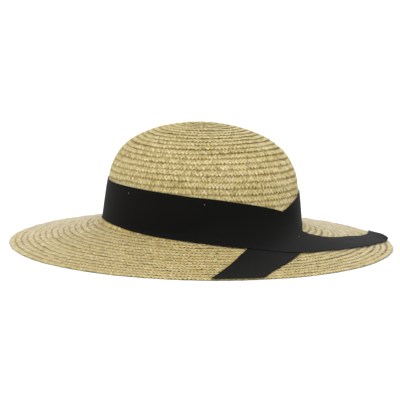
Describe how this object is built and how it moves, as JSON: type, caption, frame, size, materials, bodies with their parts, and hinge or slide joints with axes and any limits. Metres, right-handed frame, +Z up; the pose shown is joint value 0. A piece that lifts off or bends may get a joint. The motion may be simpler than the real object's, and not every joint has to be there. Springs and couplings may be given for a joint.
{
  "type": "wide-brim straw hat",
  "caption": "Sewn straw-braid hat with a domed oval crown, a wide gently sloping brim, and a flat ribbon round the crown that crosses itself and ends in two tails on the brim.",
  "frame": {"origin": "middle of the brim's outline, on the plane that the rim rests on", "axes": "+Z up through the crown; Y along the head's long axis, with the ribbon's crossing at -Y; X across the head"},
  "size_m": [0.3583, 0.3913, 0.1212],
  "materials": {
    "crown_straw": "natural wheat straw braid, sewn in overlapping rows",
    "brim_straw": "natural wheat straw braid, sewn in overlapping rows",
    "ribbon": "black grosgrain ribbon, matte"
  },
  "bodies": {
    "root": {"crown": "crown_straw", "brim": "brim_straw", "ribbon": "ribbon"}
  },
  "joints": []
}
